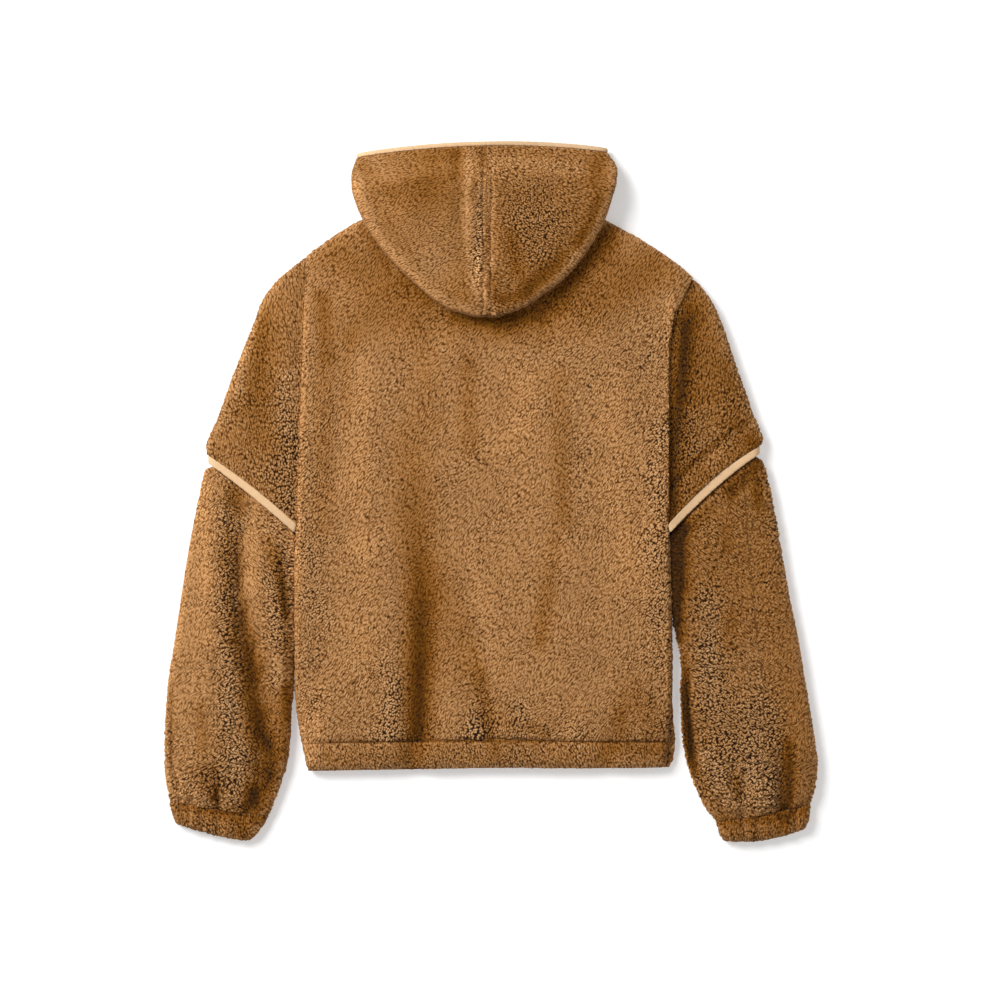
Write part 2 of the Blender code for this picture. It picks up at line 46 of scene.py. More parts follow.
# The camera looks straight down on the laid garment, as in the photograph
view = {
    "middle": (0.0109, -0.0081),  # what the picture's centre looks at
    "span": 1.15,                 # metres across the picture, at the cloth
    "height": 6.0,                # of the camera over the table
    "cloth": 0.02,                # of the cloth over the table
}
light = {
    "keyPlace": (-2.45, 2.0, 3.25), "keySize": 2.2, "keyPower": 262,
    "fillPlace": (1.8, -1.4, 3.2), "fillSize": 3.0, "fillPower": 20,
    "world": 0.34,
}


# sRGB hex to the linear values that a shader takes
def linear(code):
    out = []
    for k in (1, 3, 5):
        v = int(code[k:k + 2], 16) / 255
        out.append(v / 12.92 if v <= 0.04045 else ((v + 0.055) / 1.055) ** 2.4)
    return (*out, 1.0)


# Settings are a node's properties or sockets by name, links its sockets' sources
def addNode(tree, kind, settings=None, links=None):
    node = tree.nodes.new(kind)
    for key, value in (settings or {}).items():
        if isinstance(key, str) and key[0].islower():
            setattr(node, key, value)
        else:
            node.inputs[key].default_value = value
    for key, source in (links or {}).items():
        tree.links.new(source, node.inputs[key])
    return node


def startMaterial(name, surface):
    made = bpy.data.materials.new(name)
    made.use_nodes = True
    shader = made.node_tree.nodes["Principled BSDF"]
    for socket, value in surface.items():
        shader.inputs[socket].default_value = value
    return made, made.node_tree, shader


# Sherpa fleece: knitted polyester whose pile is tumbled into curls. Matt, with painted shade: the colour is
# painted dark in the gaps between the tufts and lighter towards the tips, and a soft sheen where fibres stand
# up at an edge.
fleece = {
    "gap": "#241307", "root": "#6E451D", "tuft": "#A87848", "tip": "#DCAE7C",
    "gapAt": 0.25, "rootAt": 0.43, "tuftAt": 0.64, "tipAt": 0.95,     # heights of these colours
    "strandMm": (2.1, 5.0), "curlMm": (2.7, 3.4), "hairMm": (0.7, 1.8), "patchMm": 60,
    "tuftShare": 0.24, "lumpShare": 0.5, "hairShare": 0.36,           # of the pile's height
    "middle": 0.66, "brushedContrast": 0.5, "curledContrast": 1.45,   # contrast about the middle height
    "bumpMm": 1.3, "hairBump": 0.45, "cloudiness": 0.06,
    "surface": {"Roughness": 0.9, "IOR": 1.46, "Specular IOR Level": 0.15, "Sheen Weight": 0.25,
                "Sheen Roughness": 0.4, "Sheen Tint": linear("#C08E55")},
}


# Round tufts with narrow gaps between them
def domed(tree, distance):
    square = addNode(tree, "ShaderNodeMath", {"operation": "MULTIPLY"}, {0: distance, 1: distance}).outputs[0]
    return addNode(tree, "ShaderNodeMapRange", {"From Min": 0.01, "From Max": 0.46, "To Min": 1.0,
                                                "To Max": 0.0}, {"Value": square}).outputs["Result"]


def sherpaFleece():
    made, tree, shader = startMaterial("sherpa_fleece_tumbled_pile", fleece["surface"])
    nap = addNode(tree, "ShaderNodeAttribute", {"attribute_name": "nap"}).outputs["Vector"]
    pile, curl, paintedShading = [addNode(tree, "ShaderNodeAttribute", {"attribute_name": name}).outputs["Fac"]
                       for name in ("pile", "curl", "paintedShading")]
    # The nap's coordinates are millimetres; each pattern takes them in units of its own size
    byStrand, byCurl, byHair = [
        addNode(tree, "ShaderNodeVectorMath", {"operation": "DIVIDE", 1: (*size, 1.0)}, {0: nap}).outputs[0]
        for size in (fleece["strandMm"], fleece["curlMm"], fleece["hairMm"])]
    # Brushed pile lies in long strands, curled pile in round tufts with pits between them
    strand = addNode(tree, "ShaderNodeTexVoronoi", {"voronoi_dimensions": "2D", "feature": "SMOOTH_F1",
                                                    "Scale": 1.0, "Smoothness": 0.3}, {"Vector": byStrand})
    knot = addNode(tree, "ShaderNodeTexVoronoi", {"voronoi_dimensions": "2D", "feature": "SMOOTH_F1",
                                                  "Scale": 1.0, "Smoothness": 0.15}, {"Vector": byCurl})
    hair = addNode(tree, "ShaderNodeTexNoise", {"noise_dimensions": "2D", "Scale": 1.0, "Detail": 3.0,
                                                "Roughness": 0.6}, {"Vector": byHair}).outputs["Fac"]
    lump = addNode(tree, "ShaderNodeMix", None, {0: curl, 2: domed(tree, strand.outputs["Distance"]),
                                                 3: domed(tree, knot.outputs["Distance"])}).outputs[0]
    # The height of the pile: the modelled tufts, then the strands, then single fibres
    coarse = addNode(tree, "ShaderNodeMath", {"operation": "MULTIPLY", 1: fleece["tuftShare"]},
                     {0: pile}).outputs[0]
    lumpy = addNode(tree, "ShaderNodeMath", {"operation": "MULTIPLY_ADD", 1: fleece["lumpShare"]},
                    {0: lump, 2: coarse}).outputs[0]
    height = addNode(tree, "ShaderNodeMath", {"operation": "MULTIPLY_ADD", 1: fleece["hairShare"]},
                     {0: hair, 2: lumpy}).outputs[0]
    # Smooth, brushed patches have less contrast than curled ones
    calm = addNode(tree, "ShaderNodeMapRange", {"To Min": fleece["brushedContrast"],
                                                "To Max": fleece["curledContrast"]}, {"Value": curl})
    around = addNode(tree, "ShaderNodeMath", {"operation": "SUBTRACT", 1: fleece["middle"]}, {0: height})
    shaped = addNode(tree, "ShaderNodeMath", {"operation": "MULTIPLY_ADD", 2: fleece["middle"]},
                     {0: around.outputs[0], 1: calm.outputs["Result"]}).outputs[0]
    # Painted shade: low places in the pile get the dark gap and root colours, which stand in for the shadow
    # between tufts; high places get the lighter tuft and tip colours
    ramp = addNode(tree, "ShaderNodeValToRGB", None, {"Fac": shaped})
    stops = ramp.color_ramp.elements
    stops[0].position, stops[0].color = fleece["gapAt"], linear(fleece["gap"])
    stops[1].position, stops[1].color = fleece["tipAt"], linear(fleece["tip"])
    for name in ("root", "tuft"):
        stops.new(fleece[name + "At"]).color = linear(fleece[name])
    place = addNode(tree, "ShaderNodeTexCoord").outputs["Object"]
    patch = addNode(tree, "ShaderNodeTexNoise", {"Scale": 1 / (fleece["patchMm"] * mm), "Detail": 2.0},
                    {"Vector": place}).outputs["Fac"]
    cloudy = addNode(tree, "ShaderNodeMapRange", {"From Min": 0.3, "From Max": 0.7,
                                                  "To Min": 1 - fleece["cloudiness"],
                                                  "To Max": 1 + fleece["cloudiness"]}, {"Value": patch})
    # Random patches of tone, times the painted light and shade: darker where shadows and creases fall,
    # lighter where light catches the pile
    shade = addNode(tree, "ShaderNodeMath", {"operation": "MULTIPLY"}, {0: cloudy.outputs["Result"], 1: paintedShading})
    # Painted shade is also painted more saturated and a little redder, as light that has bounced deep in the
    # pile comes back
    shadeSaturation = addNode(tree, "ShaderNodeMapRange", {"From Min": 0.3, "From Max": 0.95,
                                                "To Min": 1.24, "To Max": 1.0}, {"Value": paintedShading})
    shadeHue = addNode(tree, "ShaderNodeMapRange", {"From Min": 0.4, "From Max": 0.95,
                                                "To Min": 0.492, "To Max": 0.5}, {"Value": paintedShading})
    colour = addNode(tree, "ShaderNodeHueSaturation", None,
                     {"Color": ramp.outputs["Color"], "Value": shade.outputs[0],
                      "Saturation": shadeSaturation.outputs["Result"], "Hue": shadeHue.outputs["Result"]})
    tree.links.new(colour.outputs[0], shader.inputs["Base Color"])
    relief = addNode(tree, "ShaderNodeMath", {"operation": "MULTIPLY_ADD", 1: fleece["hairBump"]},
                     {0: hair, 2: lump}).outputs[0]
    depth = addNode(tree, "ShaderNodeMath", {"operation": "MULTIPLY", 1: fleece["bumpMm"] * mm},
                    {0: calm.outputs["Result"]}).outputs[0]
    bump = addNode(tree, "ShaderNodeBump", {"Strength": 1.0}, {"Height": relief, "Distance": depth})
    tree.links.new(bump.outputs["Normal"], shader.inputs["Normal"])
    return made


# Binding: fine knitted tape, folded over the raw edge and stitched. Smooth and slightly shiny.
tape = {
    "light": "#D9B68C", "dark": "#C9A378", "ribMm": 0.9, "bumpMm": 0.12,
    "surface": {"Roughness": 0.62, "IOR": 1.46, "Specular IOR Level": 0.35, "Sheen Weight": 0.2,
                "Sheen Roughness": 0.4},
}


def knitTape():
    made, tree, shader = startMaterial("knitted_binding_tape", tape["surface"])
    place = addNode(tree, "ShaderNodeTexCoord").outputs["Object"]
    ribs = addNode(tree, "ShaderNodeTexWave", {"wave_type": "BANDS", "bands_direction": "DIAGONAL",
                                               "Scale": 1 / (tape["ribMm"] * mm) / 6.2, "Distortion": 1.2,
                                               "Detail": 1.0, "Detail Scale": 2.0}, {"Vector": place})
    cloud = addNode(tree, "ShaderNodeTexNoise", {"Scale": 90.0, "Detail": 3.0}, {"Vector": place})
    mix = addNode(tree, "ShaderNodeMix", {"data_type": "RGBA", 6: linear(tape["dark"]),
                                          7: linear(tape["light"])}, {"Factor": cloud.outputs["Fac"]})
    # Painted light and shade: the tape's colour is scaled by it
    paintedShading = addNode(tree, "ShaderNodeAttribute", {"attribute_name": "paintedShading"}).outputs["Fac"]
    colour = addNode(tree, "ShaderNodeVectorMath", {"operation": "SCALE"}, {0: mix.outputs[2], "Scale": paintedShading})
    tree.links.new(colour.outputs[0], shader.inputs["Base Color"])
    bump = addNode(tree, "ShaderNodeBump", {"Strength": 0.5, "Distance": tape["bumpMm"] * mm},
                   {"Height": ribs.outputs["Fac"]})
    tree.links.new(bump.outputs["Normal"], shader.inputs["Normal"])
    return made


# How the meshes are cut up and smoothed, in mm
meshing = {
    "merge": 0.01, "coarse": 13, "middle": 7, "longer": 1.4,     # an edge this many sizes long is cut
    "lift": 0.05, "coverReach": 16, "seamReach": 2.2,            # how near another layer covers a face
    "tapeCoarse": 3.2,
}


# Every node's surface, to tell which faces another layer covers
def frameTree():
    points, faces = [], []
    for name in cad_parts:
        mesh = bpy.data.objects[name].data
        start = len(points)
        points += [v.co.copy() for v in mesh.vertices]
        faces += [[start + k for k in p.vertices] for p in mesh.polygons]
    return BVHTree.FromPolygons(points, faces)


surfaces = frameTree()


def nodeCopy(name):
    mesh = bmesh.new()
    mesh.from_mesh(bpy.data.objects[name].data)
    bmesh.ops.remove_doubles(mesh, verts=mesh.verts, dist=meshing["merge"] * mm)
    bmesh.ops.dissolve_limit(mesh, angle_limit=0.002, verts=mesh.verts, edges=mesh.edges)
    bmesh.ops.triangulate(mesh, faces=mesh.faces)
    return mesh


# Cuts the edges of these zones until none is much longer than size
def splitLong(mesh, layer, zones, size):
    for turn in range(9):
        long = [e for e in mesh.edges if e.calc_length() > meshing["longer"] * size
                and any(f[layer] in zones for f in e.link_faces)]
        if not long:
            break
        bmesh.ops.subdivide_edges(mesh, edges=long, cuts=1, use_single_edge=True)
        odd = [f for f in mesh.faces if len(f.verts) > 3]
        bmesh.ops.triangulate(mesh, faces=odd, quad_method="SHORT_EDGE", ngon_method="BEAUTY")


# Marks each face as seen from above, part of the underside, or covered by another layer
def sortFaces(mesh, layer):
    for face in mesh.faces:
        normal, middle = face.normal, face.calc_center_median()
        reach = meshing["coverReach" if abs(normal.z) > 0.5 else "seamReach"] * mm
        blocked = surfaces.ray_cast(middle + normal * meshing["lift"] * mm, normal, reach)[0] is not None
        if blocked:
            face[layer] = hidden
        elif normal.z < -0.5:
            face[layer] = under
        else:
            face[layer] = top


# Rounds the facets off; only what these zones own moves
def soften(mesh, layer, zones, turns):
    mesh.verts.index_update()
    points = np.array([v.co for v in mesh.verts])
    ends = np.array([[v.index for v in e.verts] for e in mesh.edges])
    count = np.bincount(ends.ravel(), minlength=len(points))
    loose = np.array([all(f[layer] in zones for f in v.link_faces) for v in mesh.verts])
    for turn in range(turns):
        for step in (0.5, -0.53):      # in, then back out, so that the piece doesn't shrink
            for k in range(3):
                a, b = points[ends[:, 0], k], points[ends[:, 1], k]
                total = np.bincount(ends[:, 0], b, len(points)) + np.bincount(ends[:, 1], a, len(points))
                points[:, k] += step * loose * (total / count - points[:, k])
    for vert, point in zip(mesh.verts, points):
        vert.co = point


# Each entry is (x0, y0, rise0, x1, y1, rise1, width[, width on the right of a line drawn downwards]).
# An entry that starts where the last one ends carries its line on, so the joint isn't counted twice.
def foldsAt(table, x, y):
    total, line, end = np.zeros_like(x), np.zeros_like(x), None
    for x0, y0, rise0, x1, y1, rise1, *widths in table:
        dx, dy = x1 - x0, y1 - y0
        share = np.clip(((x - x0) * dx + (y - y0) * dy) / (dx * dx + dy * dy), 0, 1)
        away = np.hypot(x - x0 - share * dx, y - y0 - share * dy)
        width = np.where(dx * (y - y0) - dy * (x - x0) > 0, widths[-1], widths[0])
        rise = (rise0 + (rise1 - rise0) * share) * np.exp(-(away / width) ** 2)
        if (x0, y0) == end:
            line = np.where(np.abs(rise) > np.abs(line), rise, line)
        else:
            total, line = total + line, rise
        end = (x1, y1)
    return total + line


# A value from 0 to 1 that soft spots change: (x, y, radius x, radius y, amount), in mm
def spotsAt(table, x, y, ground):
    total = np.full_like(x, ground)
    for px, py, rx, ry, amount in table:
        total += amount * np.exp(-((x - px) / rx) ** 2 - ((y - py) / ry) ** 2)
    return np.clip(total, 0, 1)


# What all the fleece pieces share. Lengths are mm, and waves are per mm.
nature = {
    "bendMm": 5, "bendWave": 0.02, "wobbleMm": 0.8, "wobbleWave": 0.13,    # how the nap wanders
    "raggedMm": 5, "raggedWave": 0.12, "finerMm": 3, "finerWave": 0.4,     # a parting's ridge
    "swellMm": 1.5, "swellWave": 0.022,                                    # broad unevenness of the cloth
    "patchWave": 0.035, "patchCurl": 0.3,                                  # patches with more or less curl
    "standMm": 0.8, "underMm": 0.6, "seamMm": 0.45,                        # how far the pile stands out
    # Painted rim light: outlines where the surface turns away from the camera are painted lighter; the
    # painted light and shade is kept within the range below
    "paintedRimLight": 0.5, "paintedShadingRange": (0.12, 1.35),                              # light caught by standing fibres
}


# Coordinates across and along the nap, in mm, with the direction of the pile wandering a little
def napFrame(points, normals, look):
    place = points.copy()
    # The pattern runs on down the sides as if they were unfolded
    steep = np.clip(1 - np.abs(normals[:, 2]) / 0.6, 0, 1)
    outward = normals[:, :2] / np.maximum(np.hypot(normals[:, 0], normals[:, 1]), 0.01)[:, None]
    place[:, :2] -= outward * (points[:, 2] * steep)[:, None]
    if "parting" in look:
        # The pile falls away on both sides of a ridge
        ys, xs = zip(*look["parting"])
        ridge = np.interp(points[:, 1], ys, xs)
        ragged = [nature["raggedMm"] * noise.noise(Vector((0, y * nature["raggedWave"], 4)))
                  + nature["finerMm"] * noise.noise(Vector((0, y * nature["finerWave"], 1)))
                  for y in points[:, 1]]
        side = points[:, 0] - ridge + ragged
        place[:, 0] = np.sqrt(side ** 2 + 1)
        place[:, 1] += np.where(side > 0, 300, 0)      # so that the two sides don't mirror each other
    bend = np.array([noise.noise_vector(Vector(p) * nature["bendWave"]) * nature["bendMm"]
                     + noise.noise_vector(Vector(p) * nature["wobbleWave"]) * nature["wobbleMm"]
                     for p in points])
    place += bend
    angle = math.radians(look["nap"])
    along = (math.cos(angle), math.sin(angle))
    u = place[:, 1] * along[0] - place[:, 0] * along[1]
    v = place[:, 0] * along[0] + place[:, 1] * along[1]
    return u, v


# Height of the pile from 0 to 1: domes with gaps between them where it is curled, flatter where brushed
def tufts(u, v, look, curl):
    width, length = look["tuftMm"]
    heights = np.empty(len(u))
    for k in range(len(u)):
        place = Vector((u[k] / width, v[k] / length, 0.37))
        near = noise.voronoi(place, distance_metric="DISTANCE")[0]
        dome = 1 - min(near[0] * 1.25, 1.0) ** 2
        gap = min((near[1] - near[0]) * 2.4, 1.0)
        small = noise.noise(place * 2.3) * 0.5 + 0.5
        heights[k] = (0.45 * dome + 0.4 * gap) * (0.4 + 0.6 * curl[k]) + 0.25 * small + 0.14 * (1 - curl[k])
    return np.clip(heights, 0, 1)


def coords(mesh):
    data = np.empty(len(mesh.vertices) * 3)
    mesh.vertices.foreach_get("co", data)
    return data.reshape(-1, 3)


def normalsOf(mesh):
    data = np.empty(len(mesh.vertices) * 3)
    mesh.vertices.foreach_get("normal", data)
    return data.reshape(-1, 3)


def storePoint(mesh, name, kind, key, values):
    mesh.attributes.new(name, kind, "POINT").data.foreach_set(key, np.asarray(values, np.float32).ravel())


# What each fleece piece is like. Sizes are millimetres, and places are on the table, from the middle.
#   fine: length of the mesh's edges          nap: direction of the pile, in degrees
#   grain: size of the pattern                tuftMm, rise: width, length and height of the modelled tufts
#   curl: 0 brushed to 1 curled               spots: where it is curled more or less
#   paintedShading: painted light and shade of the pile  brushed: lines of painted shadow and highlight
#   folds: ridges and troughs                 lean: lines that shift sideways
#   parting: (y, x) of a ridge in the pile    wander: middle, reach and shift of a puckered seam
#   flat, area, held, on: the cut sheet, how it is held and what it rests on
pieces = {
    "back_panel": {
        "fine": 4.6, "nap": 56, "grain": 0.82, "tuftMm": (4.8, 8.0), "rise": 0.8, "curl": 0.34,
        "flat": (0.47, 0.64), "held": "laid", "on": ["front_panel"],
        "spots": [
            (-112, -250, 26, 110, 0.55), (-205, -100, 20, 160, 0.4), (195, -60, 20, 230, 0.5),
            (60, -280, 150, 26, 0.35), (-8, -255, 20, 40, 0.45), (33, -255, 12, 30, 0.35),
            (-170, 200, 60, 50, -0.25), (-88, -240, 12, 90, -0.4), (200, 260, 60, 40, -0.25),
            (120, 100, 60, 140, 0.12)],
        "paintedShading": 0.955, "paintedStreaks": [
            (-92, 60, -0.15, -84, -60, -0.34, 24), (-84, -60, -0.34, -80, -130, -0.56, 19, 22),
            (-80, -130, -0.56, -82, -200, -0.72, 17, 20), (-82, -200, -0.72, -84, -320, -0.76, 16, 17),
            (-54, -100, -0.1, -22, -205, -0.16, 26), (-40, -90, 0.0, -18, -190, -0.06, 12),
            (-12, -205, -0.2, 0, -284, -0.44, 9), (-22, -66, 0.12, 8, -215, 0.12, 13),
            (-194, 222, -0.34, -188, 160, -0.24, 11), (-190, 150, -0.16, -192, -40, -0.14, 13),
            (-162, 180, -0.16, -162, 90, -0.16, 10), (-150, 150, 0.14, -150, -60, 0.1, 14),
            (-148, -70, 0.16, -150, -190, 0.16, 26), (78, 130, -0.14, 84, -30, -0.22, 13),
            (74, -50, -0.12, 57, -170, -0.26, 11), (36, 140, 0.16, 40, 10, 0.12, 20),
            (-80, 190, -0.12, -72, 90, -0.12, 18), (-27, 150, -0.2, -24, 50, -0.18, 11),
            (140, 110, 0.14, 160, -90, 0.16, 32), (100, -240, 0.16, 88, -280, 0.24, 10),
            (149, -250, -0.26, 150, -280, -0.26, 8), (165, -235, -0.2, 190, -275, -0.2, 20),
            (136, -262, -0.1, 134, -318, -0.28, 7, 10), (-198, -230, 0.2, -206, -290, 0.36, 13),
            (12, -262, -0.14, 60, -278, -0.14, 12), (-178, 276, -0.22, -120, 240, -0.26, 30),
            (-150, 196, -0.18, -100, 200, -0.18, 26), (190, 262, -0.3, 110, 216, -0.3, 32),
            (150, 318, -0.2, 136, 298, -0.4, 9), (136, 298, -0.4, 112, 264, -0.46, 11),
            (112, 264, -0.46, 82, 230, -0.5, 12), (82, 230, -0.5, 52, 206, -0.56, 13),
            (52, 206, -0.56, 10, 196, -0.56, 13), (10, 196, -0.56, -40, 203, -0.36, 10),
            (146, 300, -0.2, 133, 270, -0.26, 13), (86, 212, -0.12, 64, 200, -0.14, 10),
            (-60, 214, -0.24, -90, 236, -0.24, 18), (-40, 190, -0.16, 60, 184, -0.16, 20),
            (-70, 222, -0.14, -118, 262, -0.06, 8), (-118, 262, -0.24, -150, 312, -0.2, 8),
            (206, 226, 0.36, 205, 30, 0.4, 4.5), (205, 30, 0.3, 204, -60, 0.36, 4.5),
            (-212, 190, 0.1, -222, -120, 0.12, 7), (205, -150, 0.14, 207, -235, 0.14, 7),
            (208, -262, -0.3, 208, -284, -0.3, 5), (-203, -286, -0.4, 200, -286, -0.4, 1.8)],
        "folds": [
            (-78, -10, 0, -76, -130, -6.5, 12, 22), (-76, -130, -6.5, -78, -320, -8.5, 12, 22),
            (-108, -150, 0.6, -106, -320, 2.2, 9), (-52, -150, 0.6, -50, -320, 1.4, 14),
            (-10, -222, -0.4, -3, -290, -3.4, 5, 12), (-22, -215, 0.4, -16, -290, 1.2, 7),
            (145, -255, -0.4, 136, -318, -4.0, 5, 13), (128, -240, 0.2, 122, -318, 1.2, 9),
            (35, -226, -0.2, 32, -285, -1.0, 5), (-165, 187, -1.8, -179, 15, -1.8, 14),
            (-104, 150, -1.4, -88, -54, -1.8, 24), (-138, 150, 1.0, -140, -100, 1.2, 15),
            (10, 40, 1.0, -20, -200, 1.2, 34), (176, 180, -1.2, 172, -120, -1.4, 14),
            (95, 150, 0.9, 90, -260, 1.0, 26), (-211, 205, 1.4, -217, -40, 1.8, 7),
            (205, 205, 1.2, 197, -40, 1.8, 7), (-217, -40, 1.2, -212, -270, 0.6, 7),
            (197, -40, 1.4, 205, -270, 0.8, 7), (-203, -286, -1.2, 200, -286, -1.2, 2.4)],
    },
    "front_panel": {
        "fine": 6.0, "nap": 70, "tuftMm": (4.4, 7.0), "rise": 0.9, "curl": 0.45,
        "flat": (0.47, 0.64), "held": "laid", "on": [],
        "spots": [], "paintedShading": 0.85, "paintedStreaks": [], "folds": [],
    },
    "hem_band_back": {
        "fine": 3.0, "nap": -70, "grain": 0.8, "tuftMm": (3.6, 5.2), "rise": 0.7, "curl": 0.52,
        "flat": (0.425, 0.04), "held": "folded", "on": ["hem_band_front"], "spots": [],
        "paintedShading": 0.83, "paintedStreaks": [
            (-203, -286, -0.4, 200, -286, -0.4, 1.8), (208, -286, -0.3, 208, -300, -0.2, 5),
            (143, -290, -0.2, 204, -294, -0.24, 9), (-98, -290, -0.24, -98, -306, -0.24, 8),
            (-206, -284, 0.3, -206, -310, 0.3, 9), (0, -284, -0.16, 4, -300, -0.14, 9),
            (-82, -285, -0.34, -84, -322, -0.24, 10), (134, -285, -0.2, 130, -322, -0.2, 9)],
        "folds": [
            (-92, -280, -3.2, -88, -322, -2.0, 8), (-10, -280, -1.8, -12, -322, -0.5, 8),
            (132, -280, -2.4, 130, -322, -1.0, 8), (60, -285, -1.0, 60, -320, -0.4, 6),
            (-150, -285, -1.2, -152, -320, -0.4, 7), (182, -282, -1.4, 184, -320, -0.5, 6),
            (-203, -286, -1.2, 200, -286, -1.2, 2.4)],
    },
    "hem_band_front": {
        "fine": 5.0, "nap": 70, "tuftMm": (4.2, 6.0), "rise": 0.9, "curl": 0.5,
        "flat": (0.425, 0.04), "held": "folded", "on": [],
        "spots": [], "paintedShading": 0.85, "paintedStreaks": [], "folds": [],
    },
    "upper_sleeve_left": {
        "fine": 2.5, "nap": 100, "grain": 0.88, "tuftMm": (3.4, 4.8), "rise": 0.95, "curl": 0.5,
        "flat": (0.235, 0.31), "area": 0.042, "held": "laid", "on": ["lower_sleeve_left"],
        "spots": [(-235, 30, 22, 90, 0.45), (-255, 210, 60, 40, -0.25)],
        "paintedShading": 0.82, "paintedStreaks": [
            (-336, 60, 0.2, -262, 240, 0.2, 12), (-276, 200, 0.2, -290, 120, 0.22, 11),
            (-264, 210, -0.14, -262, 60, -0.16, 18), (-262, 232, 0.14, -236, 250, 0.14, 12),
            (-268, 196, -0.16, -280, 100, -0.1, 14), (-232, 130, 0.2, -236, 80, 0.16, 12)],
        "folds": [
            (-219, 222, -2.0, -226, -40, -3.0, 7), (-300, 60, 1.0, -262, 210, 1.2, 14),
            (-270, 30, -1.4, -255, 160, -1.6, 13), (-318, 62, -1.6, -290, 46, -1.0, 6)],
    },
    "upper_sleeve_right": {
        "fine": 2.5, "nap": 80, "grain": 0.88, "tuftMm": (3.4, 4.8), "rise": 0.95, "curl": 0.55,
        "flat": (0.235, 0.31), "area": 0.042, "held": "laid", "on": ["lower_sleeve_right"],
        "spots": [(225, 60, 20, 90, 0.3), (262, 190, 30, 60, -0.2)],
        "paintedShading": 0.64, "paintedStreaks": [
            (236, 224, -0.1, 223, 196, -0.54, 9, 14), (223, 196, -0.54, 218, 110, -0.54, 8, 12),
            (218, 110, -0.54, 212, 40, -0.48, 8, 9), (212, 40, -0.48, 211, -45, -0.54, 8),
            (262, 66, 0.14, 256, 40, 0.14, 16), (294, 82, -0.2, 278, 74, -0.3, 2.6),
            (278, 74, -0.3, 237, 39, -0.3, 2.6), (237, 39, -0.3, 208, 6, -0.2, 2.6),
            (272, 150, -0.14, 290, 110, -0.14, 9), (240, 252, 0.14, 292, 110, 0.26, 9),
            (292, 110, 0.26, 320, 60, 0.3, 9), (245, 90, 0.14, 240, 60, 0.12, 14),
            (300, 60, -0.2, 308, 52, -0.3, 7)],
        "folds": [
            (240, 240, -3.0, 212, 190, -5.0, 9), (212, 190, -5.0, 206, -40, -5.5, 10),
            (293, 75, -1.2, 229, 26, -2.6, 5), (229, 26, -2.6, 208, 8, -1.0, 5),
            (250, 200, 1.2, 280, 60, 1.2, 14), (298, 110, -1.0, 305, 70, -1.2, 6)],
    },
    "lower_sleeve_left": {
        "fine": 2.6, "nap": 118, "grain": 0.88, "tuftMm": (3.4, 4.8), "rise": 1.05, "curl": 0.35,
        "parting": [(-380, -314), (-300, -298), (-169, -293), (-77, -300), (20, -306)],
        "flat": (0.3, 0.43), "area": 0.105, "held": "laid", "on": [],
        "spots": [
            (-301, -90, 15, 140, 0.65), (-292, -230, 22, 80, 0.5), (-245, -110, 20, 100, 0.6),
            (-310, -335, 60, 45, 0.5), (-350, -120, 18, 150, -0.3), (-274, -150, 14, 90, -0.4)],
        "paintedShading": 0.985, "paintedStreaks": [
            (-294, 10, -0.2, -302, -54, -0.24, 8), (-302, -54, -0.24, -300, -123, -0.26, 8),
            (-292, -54, -0.26, -291, -123, -0.38, 8, 11), (-291, -123, -0.38, -282, -175, -0.52, 10, 14),
            (-282, -175, -0.52, -268, -238, -0.62, 14, 19), (-268, -238, -0.62, -262, -307, -0.6, 15, 20),
            (-262, -307, -0.62, -268, -353, -0.52, 15, 18), (-252, -285, -0.2, -250, -325, -0.2, 8),
            (-256, -54, -0.24, -236, -123, -0.42, 9), (-236, -123, -0.42, -232, -260, -0.26, 7),
            (-271, -10, 0.16, -276, -110, 0.16, 8), (-300, -368, -0.3, -276, -384, -0.3, 12),
            (-316, -318, -0.2, -313, -368, -0.4, 6), (-347, -345, -0.1, -346, -380, -0.3, 5),
            (-340, -320, -0.14, -320, -340, -0.14, 16), (-232, -35, 0.16, -230, -75, 0.14, 6),
            (-366, -222, -0.2, -367, -307, -0.3, 4), (-302, -112, -0.16, -297, -169, -0.3, 9),
            (-296, -112, 0.34, -296, -126, 0.34, 7), (-297, -175, -0.16, -280, -215, -0.2, 9),
            (-284, -230, -0.22, -264, -290, -0.26, 12), (-262, -300, 0.1, -262, -336, 0.1, 7),
            (-274, -345, -0.5, -286, -390, -0.6, 9), (-275, -190, -0.1, -273, -206, -0.1, 8),
            (-262, -215, 0.2, -262, -238, 0.3, 8), (-243, -190, 0.2, -242, -220, 0.2, 7),
            (-265, -290, 0.24, -265, -304, 0.24, 6), (-255, -322, -0.24, -256, -338, -0.24, 7),
            (-328, -318, -0.14, -328, -334, -0.14, 10), (-235, -225, -0.34, -236, -300, -0.34, 8),
            (-333, -245, -0.2, -331, -295, -0.2, 8), (-317, -340, -0.24, -317, -352, -0.24, 6),
            (-325, 5, 0.3, -323, -170, 0.22, 8), (-286, -6, -0.26, -286, -20, -0.26, 9),
            (-311, -60, -0.16, -311, -84, -0.16, 8), (-243, -66, -0.26, -237, -140, -0.44, 4.5),
            (-301, 2, -0.24, -301, -8, -0.24, 8), (-231, -88, 0.24, -231, -157, 0.24, 4),
            (-310, -280, -0.1, -306, -340, -0.16, 14)],
        "lean": [(-230, -20, 4.0, -229, -75, 2.2, 8), (-229, -75, 2.2, -227, -235, 1.6, 7)],
        "folds": [
            (-304, 20, 1.0, -300, -77, 2.8, 9), (-300, -77, 2.8, -293, -169, 2.8, 9),
            (-293, -169, 2.8, -288, -261, 1.6, 10), (-288, -50, -4.0, -287, -123, -7.0, 8, 14),
            (-287, -123, -7.0, -276, -175, -8.0, 8, 16), (-276, -175, -8.0, -262, -238, -7.5, 10, 18),
            (-262, -238, -7.5, -262, -340, -5.0, 12, 18), (-250, -50, 1.6, -240, -226, 2.0, 10),
